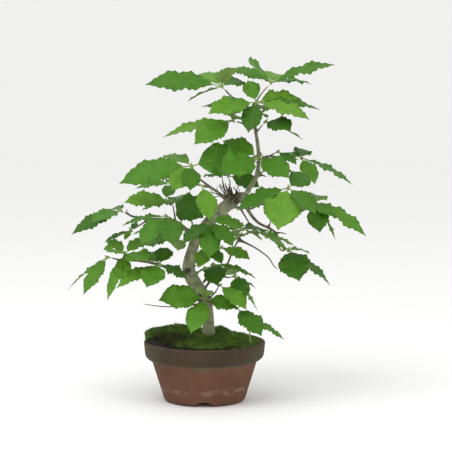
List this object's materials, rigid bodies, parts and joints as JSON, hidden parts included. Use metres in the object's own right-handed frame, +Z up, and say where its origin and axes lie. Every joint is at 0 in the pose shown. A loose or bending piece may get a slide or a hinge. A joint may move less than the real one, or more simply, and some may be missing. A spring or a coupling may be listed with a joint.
{
  "type": "potted bonsai tree",
  "caption": "Broadleaf bonsai with a curving grey trunk and tiers of pointed leaves, rooted in mossy soil in a shallow round terracotta pot with a dark rim",
  "frame": {"origin": "centre of the bounding box on the ground plane, at the foot ring's lowest face", "axes": "+Z up, -Y towards the front foot notch, +X to the right seen from the front"},
  "size_m": [0.4432, 0.2902, 0.5117],
  "materials": {
    "pot": "unglazed fired clay, matt, with a dark slip on the rim band",
    "screen": "moulded mesh",
    "soil": "damp granular potting soil",
    "moss": "short dense moss",
    "bark": "smooth grey bark with ring scars",
    "twig": "thin brown bark",
    "leaf": "satin leaf, paler underneath"
  },
  "bodies": {
    "root": {"branch_back_left": "twig", "branch_back_low": "twig", "branch_back_right": "twig", "branch_crown_left": "twig", "branch_foot_front": "twig", "branch_front": "twig", "branch_high_left": "twig", "branch_high_right": "twig", "branch_low_left": "twig", "branch_low_right": "twig", "branch_mid_left": "twig", "branch_mid_right": "twig", "branch_upper_left": "twig", "drain_screen": "screen", "moss_carpet": "moss", "moss_sprout": "leaf", "pot": "pot", "potting_soil": "soil", "shoot_apex": "leaf", "shoot_back_crown": "leaf", "shoot_back_left_high": "leaf", "shoot_back_left_low": "leaf", "shoot_back_low": "leaf", "shoot_back_right_high": "leaf", "shoot_back_right_low": "leaf", "shoot_crown_back": "leaf", "shoot_crown_front": "leaf", "shoot_crown_left": "leaf", "shoot_crown_stub": "leaf", "shoot_foot_whorl": "leaf", "shoot_front_center": "leaf", "shoot_front_low": "leaf", "shoot_front_upper": "leaf", "shoot_high_right": "leaf", "shoot_high_right_inner": "leaf", "shoot_inner_back": "leaf", "shoot_inner_left": "leaf", "shoot_inner_low": "leaf", "shoot_inner_right": "leaf", "shoot_leader_front": "leaf", "shoot_leader_right": "leaf", "shoot_left_fan": "leaf", "shoot_left_front": "leaf", "shoot_left_inner": "leaf", "shoot_left_shoulder": "leaf", "shoot_left_tip": "leaf", "shoot_left_young": "leaf", "shoot_low_center": "leaf", "shoot_low_left_mid": "leaf", "shoot_low_left_outer": "leaf", "shoot_low_left_tip": "leaf", "shoot_low_right_inner": "leaf", "shoot_low_right_mid": "leaf", "shoot_low_right_outer": "leaf", "shoot_low_right_tip": "leaf", "shoot_right_fan": "leaf", "shoot_right_tip": "leaf", "shoot_upper_left": "leaf", "trunk": "bark"}
  },
  "joints": []
}
